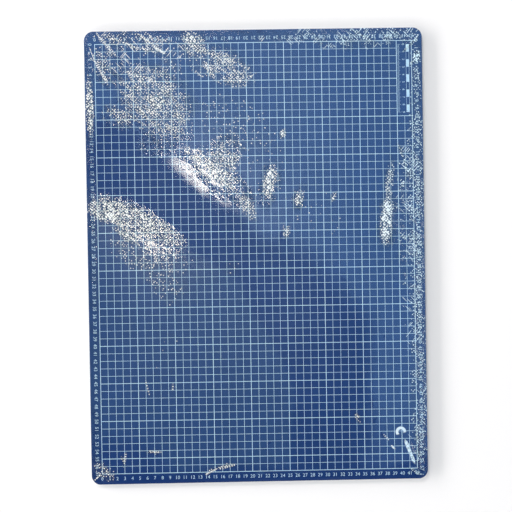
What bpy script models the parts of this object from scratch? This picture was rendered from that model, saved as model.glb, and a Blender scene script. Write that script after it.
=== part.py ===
"""A craft cutting mat: five bonded plies with a printed centimetre grid, in its clear shrink film.

Metres, +Z up, +X across the mat, +Y up the mat. The origin is at the middle of the underside.
"""

import math

import bmesh
import bpy

MM = 0.001

# The mat's outline and its plies.
MAT_WIDTH = 448 * MM
MAT_LENGTH = 601 * MM
CORNER_RADIUS = 12 * MM
EDGE_ROUNDING = 0.3 * MM
SKIN_THICKNESS = 0.6 * MM
CUSHION_THICKNESS = 0.5 * MM
CORE_THICKNESS = 0.72 * MM
BOND_LINE = 0.02 * MM

# The printed grid. Lines are counted from the left edge and from the top edge.
GRID_PITCH = 10 * MM
LEAST_MARGIN = 14 * MM
LINE_WIDTH = 0.5 * MM
BOLD_LINE_WIDTH = 0.8 * MM
BOLD_EVERY = 5
INK_THICKNESS = 0.05 * MM
INK_CLEARANCE = 0.01 * MM
PANEL_COLUMNS = 2
PANEL_ROWS = 10

# The shrink film and the fused beads where its two halves are sealed.
FILM_THICKNESS = 0.05 * MM
FILM_CLEARANCE = 0.02 * MM
SEAL_DIAMETER = 0.8 * MM

# Segments of the round stretches.
CORNER_SEGMENTS = 10
EDGE_SEGMENTS = 3
SEAL_RESOLUTION = 2

# Whole spaces of the grid that fit inside the margins. The hundredth keeps an exact fit from rounding down.
GRID_COLUMNS = math.floor((MAT_WIDTH - 2 * LEAST_MARGIN) / GRID_PITCH + 0.01)
GRID_ROWS = math.floor((MAT_LENGTH - 2 * LEAST_MARGIN) / GRID_PITCH + 0.01)

# From the mat's edge out to the middle of a seal.
SEAL_OFFSET = 2 * FILM_CLEARANCE + FILM_THICKNESS + SEAL_DIAMETER / 2

# Heights, from the face that the mat lies on to the top of the film.
PLIES = (
    ("back_skin", SKIN_THICKNESS),
    ("lower_cushion", CUSHION_THICKNESS),
    ("rigid_core", CORE_THICKNESS),
    ("upper_cushion", CUSHION_THICKNESS),
    ("face_skin", SKIN_THICKNESS),
)
MAT_UNDERSIDE = FILM_THICKNESS + FILM_CLEARANCE
MAT_FACE = MAT_UNDERSIDE + sum(thickness for _, thickness in PLIES) + BOND_LINE * (len(PLIES) - 1)
DOWN_LINES_LOW = MAT_FACE + INK_CLEARANCE
ACROSS_LINES_LOW = DOWN_LINES_LOW + INK_THICKNESS + INK_CLEARANCE
FILM_INNER_TOP = ACROSS_LINES_LOW + INK_THICKNESS + FILM_CLEARANCE
FILM_TOP = FILM_INNER_TOP + FILM_THICKNESS
SEAL_HEIGHT = FILM_TOP / 2


def clear_scene():
    for thing in list(bpy.data.objects):
        bpy.data.objects.remove(thing, do_unlink=True)


def new_collection(name):
    collection = bpy.data.collections.new(name)
    bpy.context.scene.collection.children.link(collection)
    return collection


def new_material(name, colour, roughness, alpha=1.0):
    material = bpy.data.materials.new(name)
    material.use_nodes = True
    shader = material.node_tree.nodes["Principled BSDF"]
    shader.inputs["Base Color"].default_value = (*colour, 1)
    shader.inputs["Roughness"].default_value = roughness
    shader.inputs["Metallic"].default_value = 0
    shader.inputs["Alpha"].default_value = alpha
    material.diffuse_color = (*colour, alpha)
    return material


def new_object(name, data, collection, material):
    data.materials.append(material)
    thing = bpy.data.objects.new(name, data)
    collection.objects.link(thing)
    return thing


def is_level(edge, height):
    """Whether both ends of a bmesh edge lie at this height."""
    return all(math.isclose(vertex.co.z, height, abs_tol=1e-7) for vertex in edge.verts)


def rounded_box(width, length, radius, low, high):
    """A bmesh box with round upright corners, from one height to another."""
    shape = bmesh.new()
    bmesh.ops.create_cube(shape, size=1)
    bmesh.ops.scale(shape, vec=(width, length, high - low), verts=shape.verts)
    bmesh.ops.translate(shape, vec=(0, 0, (low + high) / 2), verts=shape.verts)
    upright = [edge for edge in shape.edges if not is_level(edge, low) and not is_level(edge, high)]
    bmesh.ops.bevel(
        shape, geom=upright, offset=radius, offset_type="OFFSET", affect="EDGES",
        segments=CORNER_SEGMENTS, profile=0.5, clamp_overlap=False,
    )
    return shape


def round_rim(shape, height, radius):
    """Rounds the edges of a bmesh box that lie at this height."""
    rim = [edge for edge in shape.edges if is_level(edge, height)]
    bmesh.ops.bevel(
        shape, geom=rim, offset=radius, offset_type="OFFSET", affect="EDGES",
        segments=EDGE_SEGMENTS, profile=0.5, clamp_overlap=False,
    )


def mesh_from(shape, name):
    mesh = bpy.data.meshes.new(name)
    shape.to_mesh(mesh)
    shape.free()
    return mesh


def add_ply(name, low, high, rounded_height, collection, material):
    """One ply of the laminate. The two skins have their outer rim rounded."""
    shape = rounded_box(MAT_WIDTH, MAT_LENGTH, CORNER_RADIUS, low, high)
    if rounded_height is not None:
        round_rim(shape, rounded_height, EDGE_ROUNDING)
    return new_object(name, mesh_from(shape, name), collection, material)


def add_plies(collection, materials):
    low = MAT_UNDERSIDE
    for name, thickness in PLIES:
        high = low + thickness
        rounded_height = {"back_skin": low, "face_skin": high}.get(name)
        add_ply(name, low, high, rounded_height, collection, materials[name])
        low = high + BOND_LINE


def line_positions(start, count):
    return [start + index * GRID_PITCH for index in range(count + 1)]


def line_widths(count):
    """Widths of the lines from number 0 to this one: the edge lines and every fifth line are bold."""
    return [
        BOLD_LINE_WIDTH if number % BOLD_EVERY == 0 or number == count else LINE_WIDTH
        for number in range(count + 1)
    ]


def grid_lines():
    """The places and widths of the lines across X, left to right, and across Y, bottom to top."""
    columns = line_positions(-GRID_COLUMNS * GRID_PITCH / 2, GRID_COLUMNS)
    rows = line_positions(LEAST_MARGIN - MAT_LENGTH / 2, GRID_ROWS)
    return (columns, line_widths(GRID_COLUMNS)), (rows, line_widths(GRID_ROWS)[::-1])


def ladder_cells(lines, ends, cut_spaces, cut_at):
    """One pass of ink: parallel bars, joined at both ends by an edge line.

    lines and ends hold places and widths along u, across the bars, and along v, their length. The
    bars inside the last cut_spaces spaces stop at the v place cut_at, which leaves the panel clear.
    It returns the dividing places along u and along v, and the inked cells between them.
    """
    (places, widths), (end_places, end_widths) = lines, ends
    u_edges = [
        place + side * width / 2
        for place, width in zip(places, widths, strict=True)
        for side in (-1, 1)
    ]
    v_edges = [
        end_places[0] - end_widths[0] / 2,
        end_places[0] + end_widths[0] / 2,
        cut_at,
        end_places[-1] - end_widths[-1] / 2,
        end_places[-1] + end_widths[-1] / 2,
    ]
    end_cells = (0, 3)
    beyond_cut = 2
    last = len(places) - 1
    cells = []
    for u_cell in range(len(u_edges) - 1):
        for v_cell in range(len(v_edges) - 1):
            is_bar = u_cell % 2 == 0
            is_cut = v_cell == beyond_cut and last - cut_spaces < u_cell // 2 < last
            if v_cell in end_cells or (is_bar and not is_cut):
                cells.append((u_cell, v_cell))
    return u_edges, v_edges, cells


def add_ink(name, x_edges, y_edges, cells, low, collection, material):
    """One pass of ink as a stencil: its inked cells share their corners, and are extruded together."""
    shape = bmesh.new()
    corners = {}
    for x_cell, y_cell in cells:
        loop = [(x_cell, y_cell), (x_cell + 1, y_cell), (x_cell + 1, y_cell + 1), (x_cell, y_cell + 1)]
        for column, row in loop:
            if (column, row) not in corners:
                corners[column, row] = shape.verts.new((x_edges[column], y_edges[row], low))
        shape.faces.new([corners[place] for place in loop])
    raised = bmesh.ops.extrude_face_region(shape, geom=list(shape.faces))["geom"]
    raised_corners = [item for item in raised if isinstance(item, bmesh.types.BMVert)]
    bmesh.ops.translate(shape, vec=(0, 0, INK_THICKNESS), verts=raised_corners)
    bmesh.ops.recalc_face_normals(shape, faces=shape.faces)
    return new_object(name, mesh_from(shape, name), collection, material)


def add_grid(collection, material):
    """The grid in two passes: the lines down the mat, and over them the lines across it."""
    columns, rows = grid_lines()
    panel_left = columns[0][-1 - PANEL_COLUMNS]
    panel_bottom = rows[0][-1 - PANEL_ROWS]
    x_edges, y_edges, cells = ladder_cells(columns, rows, PANEL_COLUMNS, panel_bottom)
    add_ink("grid_lines_down", x_edges, y_edges, cells, DOWN_LINES_LOW, collection, material)
    y_edges, x_edges, cells = ladder_cells(rows, columns, PANEL_ROWS, panel_left)
    turned = [(x_cell, y_cell) for y_cell, x_cell in cells]
    add_ink("grid_lines_across", x_edges, y_edges, turned, ACROSS_LINES_LOW, collection, material)


def add_film_half(name, flat_height, open_height, collection, material):
    """Half of the film: a shallow tray over one face of the mat, with its wall thickness outwards."""
    low, high = sorted((flat_height, open_height))
    width = MAT_WIDTH + 2 * FILM_CLEARANCE
    length = MAT_LENGTH + 2 * FILM_CLEARANCE
    shape = rounded_box(width, length, CORNER_RADIUS + FILM_CLEARANCE, low, high)
    mouth = [face for face in shape.faces if all(is_level(edge, open_height) for edge in face.edges)]
    bmesh.ops.delete(shape, geom=mouth, context="FACES_ONLY")
    round_rim(shape, flat_height, EDGE_ROUNDING + FILM_CLEARANCE)
    thing = new_object(name, mesh_from(shape, name), collection, material)
    wall = thing.modifiers.new("Film thickness", "SOLIDIFY")
    wall.thickness = FILM_THICKNESS
    wall.offset = 1
    wall.use_even_offset = True
    return thing


def add_film(collection, material):
    half_gap = FILM_CLEARANCE / 2
    add_film_half("film_back", FILM_THICKNESS, SEAL_HEIGHT - half_gap, collection, material)
    add_film_half("film_front", FILM_INNER_TOP, SEAL_HEIGHT + half_gap, collection, material)


def corner_arc(side_x, side_y, start_degrees, end_degrees):
    """Points of the seal round one corner of the mat, between two directions from the corner's centre."""
    radius = CORNER_RADIUS + SEAL_OFFSET
    centre_x = side_x * (MAT_WIDTH / 2 - CORNER_RADIUS)
    centre_y = side_y * (MAT_LENGTH / 2 - CORNER_RADIUS)
    steps = max(2, round(CORNER_SEGMENTS * abs(end_degrees - start_degrees) / 90))
    points = []
    for step in range(steps + 1):
        angle = math.radians(start_degrees + (end_degrees - start_degrees) * step / steps)
        points.append((centre_x + radius * math.cos(angle), centre_y + radius * math.sin(angle)))
    return points


def add_seal(name, points, collection, material):
    """The bead of fused film along one sealed edge."""
    curve = bpy.data.curves.new(name, "CURVE")
    curve.dimensions = "3D"
    curve.bevel_depth = SEAL_DIAMETER / 2
    curve.bevel_resolution = SEAL_RESOLUTION
    curve.use_fill_caps = True
    spline = curve.splines.new("POLY")
    spline.points.add(len(points) - 1)
    for point, (x, y) in zip(spline.points, points):
        point.co = (x, y, SEAL_HEIGHT, 1)
    return new_object(name, curve, collection, material)


def add_seals(collection, material):
    """Three seals. The left and right ones start at the bottom fold, and they meet the top one mid-corner."""
    trim = math.degrees(FILM_CLEARANCE / (CORNER_RADIUS + SEAL_OFFSET))
    left = corner_arc(-1, -1, 270, 180) + corner_arc(-1, 1, 180, 135 + trim)
    top = corner_arc(-1, 1, 135 - trim, 90) + corner_arc(1, 1, 90, 45 + trim)
    right = corner_arc(1, 1, 45 - trim, 0) + corner_arc(1, -1, 0, -90)
    add_seal("seal_left", left, collection, material)
    add_seal("seal_top", top, collection, material)
    add_seal("seal_right", right, collection, material)


def main():
    clear_scene()
    collection = new_collection("cutting_mat")
    skin = new_material("blue_vinyl_skin", (0.035, 0.085, 0.25), 0.45)
    cushion = new_material("blue_vinyl_cushion", (0.045, 0.10, 0.26), 0.6)
    core = new_material("grey_core_board", (0.42, 0.43, 0.44), 0.55)
    ink = new_material("white_ink", (0.72, 0.76, 0.82), 0.5)
    film = new_material("clear_film", (0.95, 0.96, 0.97), 0.08, alpha=0.2)
    seal = new_material("fused_film", (0.88, 0.9, 0.92), 0.2, alpha=0.5)
    materials = {
        "back_skin": skin,
        "lower_cushion": cushion,
        "rigid_core": core,
        "upper_cushion": cushion,
        "face_skin": skin,
    }
    add_plies(collection, materials)
    add_grid(collection, ink)
    add_film(collection, film)
    add_seals(collection, seal)


main()
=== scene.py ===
"""Looks of the craft cutting mat in its clear film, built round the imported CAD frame.

Lengths are millimetres, but metres for the camera, lamps, floor and bumps. A heading is in degrees from +X
towards +Y. +Z is up, +X across the mat, +Y up the mat, and the origin is at the middle of the underside.
"""

import math
from functools import partialmethod

import bmesh
import bpy
import numpy as np
from mathutils import Matrix, Vector


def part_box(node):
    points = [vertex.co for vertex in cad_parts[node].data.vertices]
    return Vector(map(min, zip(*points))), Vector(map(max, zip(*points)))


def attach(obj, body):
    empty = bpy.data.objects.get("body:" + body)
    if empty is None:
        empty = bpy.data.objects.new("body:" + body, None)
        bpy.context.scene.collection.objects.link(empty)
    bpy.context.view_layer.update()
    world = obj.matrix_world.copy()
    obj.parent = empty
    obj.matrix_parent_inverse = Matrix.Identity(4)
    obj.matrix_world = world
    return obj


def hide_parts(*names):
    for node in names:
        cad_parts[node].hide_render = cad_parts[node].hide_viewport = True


MM = 0.001
BODY = "root"

# The camera, from a fit to the crossings of the printed grid.
CAMERA_PLACE = (-0.0057, 0.0039, 0.6649)
CAMERA_TURN_DEGREES = (-0.314, -0.415, -0.941)
CAMERA_LENS = 35
CAMERA_SENSOR = 36

# The print. Numbers count lines from the left edge and from the top edge.
GRID_PITCH = 10.0
EDGE_LINE_WIDTH = 0.8
DIGIT_HEIGHT = 4.5
DIGIT_WIDTH = 2.7
DIGIT_ADVANCE = 3.3
DIGIT_RESOLUTION = 3
DIGIT_WELD = 1e-5
NUMBER_OFFSET = 6.3
INK_THICKNESS = 0.05
UPRIGHT = 0
UPSIDE_DOWN = 180
CLOCKWISE = -90

# The scale in the panel at the grid's top right corner. Its ticks: how often each comes, and its length.
CENTIMETRE = 10
PANEL_COLUMNS = 2
PANEL_ROWS = 10
SCALE_MARGIN = 5.0
SCALE_TICK_START = 1.3
SCALE_TICK_WIDTH = 0.25
SCALE_TICKS = ((10, 4.2), (5, 3.2), (1, 2.2))
SCALE_DIGIT_OFFSET = 9.0
SCALE_DIGIT_SIZE = 0.72
SCALE_BAR_START = 12.6
SCALE_BAR_WIDTH = 4.2
SCALE_BAR_RIM = 0.35

# The film: how far apart its points are, and its course over the mat's rim as (outward, height).
FINE_STEP = 1.0
COARSE_STEP = 1.8
BACK_STEP = 6.0
FINE_BAND = 22.0
BOTTOM_FINE_BAND = 8.0
BACK_FINE_BAND = 12.0
CORNER_RADIUS = 12.0
FILM_INSET = 0.6
FILM_FACE = 3.235
FILM_UNDERSIDE = 0.03
FRONT_RIM = ((-0.25, 3.23), (0.02, 3.18), (0.1, 3.02), (0.12, 2.5), (0.18, 2.05), (0.42, 1.7))
BACK_RIM = ((-0.25, 0.035), (0.02, 0.06), (0.1, 0.2), (0.12, 0.75), (0.18, 1.2), (0.42, 1.56))


# Meshes.

def add_object(name, data):
    """A new object in the scene."""
    made = bpy.data.objects.new(name, data)
    bpy.context.scene.collection.objects.link(made)
    return made


def mesh_object(name, vertices, faces, material, smooth=False):
    """A mesh piece that rides on the mat."""
    mesh = bpy.data.meshes.new(name)
    mesh.from_pydata((np.asarray(vertices, float) * MM).tolist(), [], faces)
    mesh.materials.append(material)
    if smooth:
        mesh.shade_smooth()
    piece = add_object(name, mesh)
    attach(piece, BODY)
    return piece


def digit_shape(digit):
    """(points, faces) of one digit of the built-in typeface, at its own size and one unit thick."""
    curve = bpy.data.curves.new("digit", "FONT")
    curve.body = digit
    curve.resolution_u = DIGIT_RESOLUTION
    curve.extrude = 0.5
    holder = add_object("digit", curve)
    mesh = bpy.data.meshes.new_from_object(holder.evaluated_get(bpy.context.evaluated_depsgraph_get()))
    shape = bmesh.new()
    shape.from_mesh(mesh)
    bmesh.ops.remove_doubles(shape, verts=shape.verts, dist=DIGIT_WELD)
    bmesh.ops.recalc_face_normals(shape, faces=shape.faces)
    shape.verts.index_update()
    points = np.array([vertex.co for vertex in shape.verts])
    faces = [[vertex.index for vertex in face.verts] for face in shape.faces]
    shape.free()
    bpy.data.objects.remove(holder)
    bpy.data.curves.remove(curve)
    bpy.data.meshes.remove(mesh)
    return points, faces


def digit_shapes():
    """The ten digits, each centred on its own middle, with its foot at height 0."""
    shapes = [digit_shape(str(digit)) for digit in range(10)]
    eight = shapes[8][0]
    wide, tall, _ = eight.max(0) - eight.min(0)
    stretch = np.array([DIGIT_WIDTH / wide, DIGIT_HEIGHT / tall, INK_THICKNESS])
    centred = []
    for points, faces in shapes:
        middle = (points.max(0) + points.min(0)) / 2
        centred.append(((points - middle) * stretch + (0, 0, INK_THICKNESS / 2), faces))
    return centred


class Print:
    """Raised ink: shapes gathered into one mesh, all standing on the mat's face."""

    def __init__(self, face_height):
        self.face_height = face_height
        self.vertices = []
        self.faces = []

    def add(self, points, faces):
        """Adds a shape that stands at height 0."""
        start = len(self.vertices)
        self.vertices.extend((np.asarray(points) + (0, 0, self.face_height)).tolist())
        self.faces.extend([[start + index for index in face] for face in faces])

    def number(self, shapes, value, x, y, turn_degrees, size=1.0):
        """Adds a number with its middle at x and y."""
        rotation = np.array(Matrix.Rotation(math.radians(turn_degrees), 3, "Z"))
        text = str(value)
        for place, digit in enumerate(text):
            points, faces = shapes[int(digit)]
            along = (place - (len(text) - 1) / 2) * DIGIT_ADVANCE
            local = (points + (along, 0, 0)) * (size, size, 1)
            self.add(local @ rotation.T + (x, y, 0), faces)

    def block(self, low_x, low_y, high_x, high_y):
        """Adds a plain rectangle."""
        corners = [(low_x, low_y), (high_x, low_y), (high_x, high_y), (low_x, high_y)]
        points = [(x, y, z) for z in (0, INK_THICKNESS) for x, y in corners]
        faces = [[3, 2, 1, 0], [4, 5, 6, 7]]
        faces += [[k, (k + 1) % 4, (k + 1) % 4 + 4, k + 4] for k in range(4)]
        self.add(points, faces)

    def piece(self, name, material):
        """Makes one piece of all that was added."""
        made = mesh_object(name, self.vertices, self.faces, material)


def grid_places():
    """Where the grid's lines run: x of each from the left, and y of each from the top."""
    low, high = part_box("grid_lines_down")
    across_low, across_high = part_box("grid_lines_across")
    left = low.x / MM + EDGE_LINE_WIDTH / 2
    top = across_high.y / MM - EDGE_LINE_WIDTH / 2
    columns = round(((high.x - low.x) / MM - EDGE_LINE_WIDTH) / GRID_PITCH) + 1
    rows = round(((across_high.y - across_low.y) / MM - EDGE_LINE_WIDTH) / GRID_PITCH) + 1
    return [left + GRID_PITCH * k for k in range(columns)], [top - GRID_PITCH * k for k in range(rows)]


def add_numbers(shapes, ink, columns, rows, face_height):
    """The numbers in the four margins, as four pieces."""
    sides = {side: Print(face_height) for side in ("bottom", "top", "left", "right")}
    for value, x in enumerate(columns):
        sides["bottom"].number(shapes, value, x, rows[-1] - NUMBER_OFFSET, UPRIGHT)
        sides["top"].number(shapes, value, x, rows[0] + NUMBER_OFFSET, UPSIDE_DOWN)
    for value, y in enumerate(rows):
        sides["left"].number(shapes, value, columns[0] - NUMBER_OFFSET, y, CLOCKWISE)
        sides["right"].number(shapes, value, columns[-1] + NUMBER_OFFSET, y, CLOCKWISE)
    for side, printed in sides.items():
        printed.piece("numbers_" + side, ink)


def add_panel_scale(shapes, ink, columns, rows, face_height):
    """A plain millimetre scale in the panel, which the grid leaves free."""
    printed = Print(face_height)
    left = columns[-1] - PANEL_COLUMNS * GRID_PITCH
    start = rows[0] - SCALE_MARGIN
    length = round(PANEL_ROWS * GRID_PITCH - 2 * SCALE_MARGIN)
    for millimetre in range(length + 1):
        tick = next(reach for every, reach in SCALE_TICKS if millimetre % every == 0)
        y = start - millimetre
        tick_left = left + SCALE_TICK_START
        printed.block(tick_left, y - SCALE_TICK_WIDTH / 2, tick_left + tick, y + SCALE_TICK_WIDTH / 2)
    bar_left = left + SCALE_BAR_START
    bar_right = bar_left + SCALE_BAR_WIDTH
    last = length // CENTIMETRE
    for centimetre in range(last + 1):
        y = start - CENTIMETRE * centimetre
        printed.number(shapes, centimetre, left + SCALE_DIGIT_OFFSET, y, CLOCKWISE, SCALE_DIGIT_SIZE)
        if centimetre == last:
            break
        if centimetre % 2 == 0:
            printed.block(bar_left, y - CENTIMETRE, bar_right, y)
        else:
            printed.block(bar_left, y - CENTIMETRE, bar_left + SCALE_BAR_RIM, y)
            printed.block(bar_right - SCALE_BAR_RIM, y - CENTIMETRE, bar_right, y)
    printed.piece("panel_scale", ink)


# The film's shape.

def smooth_step(value, low, high):
    """0 below low, 1 above high and a smooth rise between them."""
    share = np.clip((value - low) / (high - low), 0, 1)
    return share * share * (3 - 2 * share)


# Noise: how many values it has each way before it repeats, and how far each seed turns its cells.
NOISE_SIZE = 256
NOISE_TURN = 0.7


def noise(x, y, cell, height, seed):
    """Smooth noise from about -height to height, whose bumps are a few cells wide."""
    lattice = np.random.RandomState(seed).uniform(-1, 1, (NOISE_SIZE, NOISE_SIZE))
    turn = NOISE_TURN * seed
    u = (x * math.cos(turn) + y * math.sin(turn)) / cell + NOISE_SIZE / 2
    v = (y * math.cos(turn) - x * math.sin(turn)) / cell + NOISE_SIZE / 2
    i = np.floor(u).astype(int)
    j = np.floor(v).astype(int)
    s = smooth_step(u - i, 0, 1)
    t = smooth_step(v - j, 0, 1)
    low, high = (
        lattice[i % NOISE_SIZE, k % NOISE_SIZE] * (1 - s) + lattice[(i + 1) % NOISE_SIZE, k % NOISE_SIZE] * s
        for k in (j, j + 1)
    )
    return height * (low * (1 - t) + high * t)


def run_between(start, end):
    """The length and the heading of the way from start to end."""
    dx = end[0] - start[0]
    dy = end[1] - start[1]
    return math.hypot(dx, dy), math.degrees(math.atan2(dy, dx))


def along_and_across(x, y, centre, heading):
    """Each point's place from centre, along a heading and square to it."""
    turn = math.radians(heading)
    dx = x - centre[0]
    dy = y - centre[1]
    return dx * math.cos(turn) + dy * math.sin(turn), dy * math.cos(turn) - dx * math.sin(turn)


def oval(x, y, centre, half_size, heading, soft):
    """1 inside a turned ellipse, falling to 0 over the outer share of its radius that is soft."""
    along, across = along_and_across(x, y, centre, heading)
    reach = np.hypot(along / half_size[0], across / half_size[1])
    return 1 - smooth_step(reach, 1 - soft, 1)


# Rippled patches: centre, half size, heading of the crests, distance between crests and their height.
RIPPLES = (
    ((-66, 106), (66, 20), -42, 8.0, 0.02),
    ((-150, 50), (84, 26), -50, 7.0, 0.02),
    ((-130, 205), (70, 56), -48, 9.0, 0.1),
    ((-60, 262), (60, 30), -34, 8.0, 0.1),
    ((-165, 286), (70, 18), -24, 8.0, 0.08),
    ((19, 97), (42, 20), 78, 7.0, 0.16),
    ((58, 78), (24, 14), 75, 7.0, 0.25),
    ((40, 32), (18, 12), 80, 7.0, 0.25),
    ((174, 45), (50, 18), 84, 8.0, 0.13),
    ((200, 110), (60, 16), 78, 8.0, 0.12),
    ((198, -255), (36, 12), -68, 8.0, 0.10),
    ((6, 152), (20, 18), -60, 7.0, 0.16),
)

# Finely crinkled patches, which glitter: centre, half size, heading and strength.
CRINKLES = (
    ((-60, 110), (64, 26), -40, 0.25),
    ((-48, 122), (46, 18), -40, 0.4),
    ((-38, 142), (28, 32), -60, 0.6),
    ((-22, 86), (34, 22), -42, 0.65),
    ((-154, 49), (80, 22), -29, 0.8),
    ((-120, 4), (74, 38), -30, 0.12),
    ((-128, 208), (76, 60), -50, 0.65),
    ((-126, 158), (28, 40), -60, 0.6),
    ((-172, 192), (38, 28), 0, 0.65),
    ((-160, 286), (74, 22), -18, 0.6),
    ((-190, 250), (38, 26), -60, 0.75),
    ((-78, 278), (38, 24), -50, 0.6),
    ((-44, 260), (54, 26), -24, 0.75),
    ((-36, 244), (38, 20), -20, 0.85),
    ((140, 286), (95, 18), 0, 0.5),
    ((175, 45), (50, 18), 86, 1.0),
    ((178, 100), (44, 9), 84, 0.7),
    ((200, 40), (110, 18), 90, 0.3),
    ((19, 97), (42, 18), 78, 1.0),
    ((58, 78), (24, 12), 75, 1.0),
)

# Patches of milky specks that paint the film's glints: centre, half size, heading and share covered.
GLINT_SPECK_PATCHES = (
    ((217, 262), (12, 6), 90, 0.6),
    ((216, 240), (18, 7), 90, 0.2),
    ((174, 45), (38, 10), 86, 0.75),
    ((178, 92), (36, 6), 84, 0.3),
    ((198, 70), (96, 18), 90, 0.05),
    ((214, 60), (260, 14), 90, 0.19),
    ((214, -170), (150, 15), 90, 0.14),
    ((140, 292), (120, 16), 0, 0.1),
    ((19, 97), (30, 10), 78, 0.66),
    ((58, 77), (14, 7), 75, 0.5),
    ((104, 77), (8, 5), 75, 0.4),
    ((40, 32), (10, 6), 80, 0.4),
    ((37, 162), (8, 5), 80, 0.4),
    ((-44, 250), (56, 26), -22, 0.22),
    ((-77, 280), (28, 18), -50, 0.4),
    ((-150, 286), (86, 20), -14, 0.09),
    ((-110, 250), (26, 16), -40, 0.12),
    ((-200, 262), (26, 20), -50, 0.2),
    ((-132, 206), (70, 44), -46, 0.37),
    ((-172, 190), (34, 18), 0, 0.18),
    ((-56, 114), (56, 18), -40, 0.32),
    ((-40, 132), (30, 26), -50, 0.23),
    ((-154, 48), (78, 20), -28, 0.42),
    ((-196, 62), (34, 18), -20, 0.5),
    ((-172, 34), (30, 14), -50, 0.35),
    ((-152, 6), (56, 30), -30, 0.1),
    ((-12, 66), (28, 11), -60, 0.25),
    ((-128, -2), (60, 30), -30, 0.06),
    ((-124, -26), (52, 28), -60, 0.08),
    ((-218, 200), (50, 7), 90, 0.4),
    ((131, -218), (9, 4), -68, 0.4),
    ((-206, -284), (24, 12), -40, 0.16),
    ((-20, 165), (90, 50), -40, 0.05),
    ((-106, -29), (26, 18), -60, 0.06),
    ((-34, -16), (16, 14), -60, 0.05),
    ((70, 60), (90, 40), -20, 0.012),
    ((-120, -140), (70, 60), -60, 0.008),
)

# Patches of fine crossing milky lines that paint the film's glints: centre, half size, heading and strength.
GLINT_LINE_PATCHES = (
    ((130, 290), (150, 20), 0, 1.0),
    ((202, 80), (110, 18), 90, 0.9),
    ((206, -60), (110, 14), 90, 0.8),
    ((-150, 286), (86, 20), -14, 0.8),
    ((-44, 252), (60, 26), -22, 0.8),
    ((-160, 250), (60, 34), -40, 0.7),
    ((214, -200), (130, 14), 90, 0.3),
    ((204, -258), (40, 12), -70, 0.5),
)

# Creases: from, to, half width, height and, where a crease is crimped, the distance between its rungs.
CREASES = (
    ((-213, 297), (-117, 270), 3.0, 0.16, 0),
    ((-160, 300), (-112, 268), 2.6, 0.14, 0),
    ((-212, 262), (-190, 226), 2.6, 0.22, 2.6),
    ((-150, 298), (-108, 282), 2.4, 0.12, 0),
    ((-70, 273), (-18, 255), 2.6, 0.14, 0),
    ((100, 300), (128, 276), 2.4, 0.13, 0),
    ((130, 298), (160, 280), 2.4, 0.13, 0),
    ((168, 278), (196, 299), 2.4, 0.13, 0),
    ((222, 292), (198, 268), 2.4, 0.13, 0),
    ((218, 264), (205, 250), 3.4, 0.18, 0),
    ((188, 152), (208, 96), 2.6, 0.13, 0),
    ((192, 84), (210, 118), 2.4, 0.13, 0),
    ((190, 24), (212, 18), 2.6, 0.14, 0),
    ((188, 6), (212, -4), 2.6, 0.14, 0),
    ((190, -36), (210, -48), 2.6, 0.13, 0),
    ((208, -236), (214, -290), 2.8, 0.1, 0),
    ((-72, -285), (-32, -276), 2.6, 0.2, 3.0),
    ((-150, -257), (-134, -261), 2.2, 0.16, 2.4),
    ((-183, -262), (-180, -280), 2.2, 0.16, 2.4),
    ((-222, -296), (-200, -280), 2.6, 0.14, 0),
    ((220, -298), (198, -284), 2.6, 0.15, 0),
)

# Single milky marks that paint highlights: from, to, half width and, where a mark is crimped, the distance
# between its rungs.
GLINT_MARKS = (
    ((-217, 280), (-210, 261), 0.6, 0),
    ((-211, 264), (-192, 228), 2.2, 2.8),
    ((-206, 295), (-179, 265), 2.2, 2.8),
    ((-153, 298), (-117, 270), 1.6, 2.8),
    ((-132, 279), (-115, 269), 1.8, 0),
    ((-168, 250), (-158, 230), 2.4, 2.8),
    ((-50, 253), (-25, 237), 1.6, 2.8),
    ((-74, -290), (-55, -281), 1.3, 0),
    ((-57, -283), (-29, -276), 1.9, 3.2),
    ((-145, -257), (-129, -259), 1.4, 3.2),
    ((-178, -257), (-181, -275), 1.8, 3.0),
    ((-151, -161), (-145, -185), 1.2, 4.0),
    ((-114, -167), (-115, -179), 1.2, 3.6),
    ((165, -240), (173, -249), 1.5, 3.2),
    ((175, -255), (181, -261), 1.5, 0),
    ((193, -246), (208, -284), 2.6, 0),
)

# A dimple in the film near the lower right corner, flat in its middle, with a milky arc round it that paints
# its highlight.
DIMPLE_CENTRE = (188.5, -237.5)
DIMPLE_RADIUS = 8.0
DIMPLE_HEIGHT = 0.1
DIMPLE_FLAT = 0.25
ARC_RADIUS = 5.2
ARC_HALF_WIDTH = 2.3
ARC_FADE = (0.6, 1.0)
ARC_LEAN = 0.3
ARC_ENDS = (-3.5, -1.0)

# Left, right, bottom and top margin: how far in the film is crinkled, and how strongly.
MARGINS = ((15.0, 0.35), (20.0, 0.32), (6.0, 0.06), (20.0, 0.35))
MARGIN_FULL = 0.55

# Stray marks over the whole face.
STRAY_MARKS = 90
STRAY_SEED = 11
STRAY_LENGTH = (4, 11)
STRAY_HALF_WIDTH = 2.0
STRAY_HEIGHT = (0.08, 0.25)

# Noise, as cell, height and seed: the film's slow waves, the small folds of its margins, the unevenness of
# a ripple's crests in radians, how a crease wanders as a share of its half width, and the back film's waves.
SLOW_WAVES = ((60.0, 0.10, 1), (24.0, 0.03, 2))
MARGIN_FOLDS = ((5.0, 0.06, 6), (2.8, 0.03, 7))
RIPPLE_WOBBLE = (22.0, 3.0, 3)
CREASE_WANDER = (9.0, 0.6, 5)
BACK_WAVE = (18.0, 0.02, 9)

# How soft the edges of the patches are, and how near its sides the film starts to lie flat.
RIPPLE_SOFTNESS = 0.7
CRINKLE_SOFTNESS = 0.5
GLINT_PATCH_SOFTNESS = 0.6
FLAT_AT_SIDES = 4.0

# A crease: how sharp it is, the share of its length that is an end, and how deep its rungs are.
CREASE_POWER = 1.5
CREASE_END = 0.2
CREASE_RUNGS = 0.4
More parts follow.
